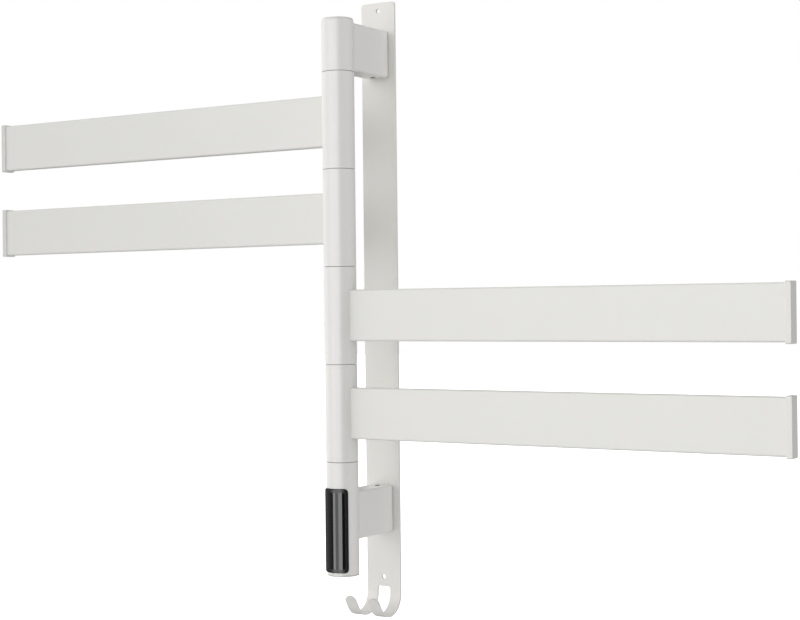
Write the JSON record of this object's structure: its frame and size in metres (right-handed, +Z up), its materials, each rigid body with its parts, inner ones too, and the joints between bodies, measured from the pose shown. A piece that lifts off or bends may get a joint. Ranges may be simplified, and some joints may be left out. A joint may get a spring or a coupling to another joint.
{
  "type": "electric heated towel rail",
  "caption": "Wall-mounted electric towel rail: flat heated bars swivel on a round pole with a touch control at its foot and robe hooks on the back plate.",
  "frame": {"origin": "midway between the two wall-screw holes, on the back face of the wall plate", "axes": "+Z up, +X along the right-hand bars, -Y out from the wall into the room"},
  "size_m": [1.092, 0.1105, 0.7438],
  "materials": {
    "plate_coat": "satin off-white powder coat",
    "pole_coat": "satin off-white powder coat",
    "bar_coat": "satin off-white powder coat",
    "cap_coat": "satin off-white",
    "lens_black": "gloss black",
    "rubber_black": "matte",
    "steel": "zinc plated",
    "element_steel": "dull stainless sheath",
    "aluminium": "sawn and machined",
    "contact_brass": "bright",
    "washer_plastic": "natural acetal",
    "case_plastic": "matte black",
    "board_green": "solder mask",
    "lead_sheath": "silicone sheath"
  },
  "bodies": {
    "pole_frame": {"back_plate": "plate_coat", "upper_mount_block": "aluminium", "lower_mount_block": "aluminium", "mount_block_screws": "steel", "upper_arm": "pole_coat", "lower_arm_housing": "pole_coat", "arm_set_screws": "steel", "top_cap": "pole_coat", "bottom_cap": "pole_coat", "cable_inlet_grommet": "rubber_black", "core_tube": "steel", "core_tube_nuts": "steel", "thrust_washer": "washer_plastic", "wave_spring": "steel", "control_lens": "lens_black", "lens_gasket": "rubber_black", "board_carrier": "case_plastic", "control_board": "board_green", "board_screws": "steel", "display_module": "case_plastic", "touch_springs": "contact_brass", "terminal_block": "case_plastic", "power_module": "case_plastic", "earth_screw": "contact_brass", "swivel_contacts": "contact_brass", "contact_spacers": "washer_plastic", "wiring_harness": "lead_sheath", "stop_washers": "washer_plastic"},
    "bar_1": {"bar_1_sleeve": "pole_coat", "bar_1_bushes": "washer_plastic", "bar_1_profile": "bar_coat", "bar_1_root_plugs": "aluminium", "bar_1_root_screws": "steel", "bar_1_end_cap": "cap_coat", "bar_1_element": "element_steel", "bar_1_lead": "lead_sheath"},
    "bar_2": {"bar_2_sleeve": "pole_coat", "bar_2_bushes": "washer_plastic", "bar_2_profile": "bar_coat", "bar_2_root_plugs": "aluminium", "bar_2_root_screws": "steel", "bar_2_end_cap": "cap_coat", "bar_2_element": "element_steel", "bar_2_lead": "lead_sheath"},
    "bar_3": {"bar_3_sleeve": "pole_coat", "bar_3_bushes": "washer_plastic", "bar_3_profile": "bar_coat", "bar_3_root_plugs": "aluminium", "bar_3_root_screws": "steel", "bar_3_end_cap": "cap_coat", "bar_3_element": "element_steel", "bar_3_lead": "lead_sheath"},
    "bar_4": {"bar_4_sleeve": "pole_coat", "bar_4_bushes": "washer_plastic", "bar_4_profile": "bar_coat", "bar_4_root_plugs": "aluminium", "bar_4_root_screws": "steel", "bar_4_end_cap": "cap_coat", "bar_4_element": "element_steel", "bar_4_lead": "lead_sheath"}
  },
  "joints": [
    {"name": "bar_1_swivel", "type": "hinge", "parent": "pole_frame", "child": "bar_1", "pos_m": [0, -0.09, 0.20335], "axis": [0, 0, 1], "range_deg": [0, 180]},
    {"name": "bar_2_swivel", "type": "hinge", "parent": "pole_frame", "child": "bar_2", "pos_m": [0, -0.09, 0.08905], "axis": [0, 0, 1], "range_deg": [0, 180]},
    {"name": "bar_3_swivel", "type": "hinge", "parent": "pole_frame", "child": "bar_3", "pos_m": [0, -0.09, -0.02525], "axis": [0, 0, 1], "range_deg": [-180, 0]},
    {"name": "bar_4_swivel", "type": "hinge", "parent": "pole_frame", "child": "bar_4", "pos_m": [0, -0.09, -0.13955], "axis": [0, 0, 1], "range_deg": [-180, 0]}
  ]
}
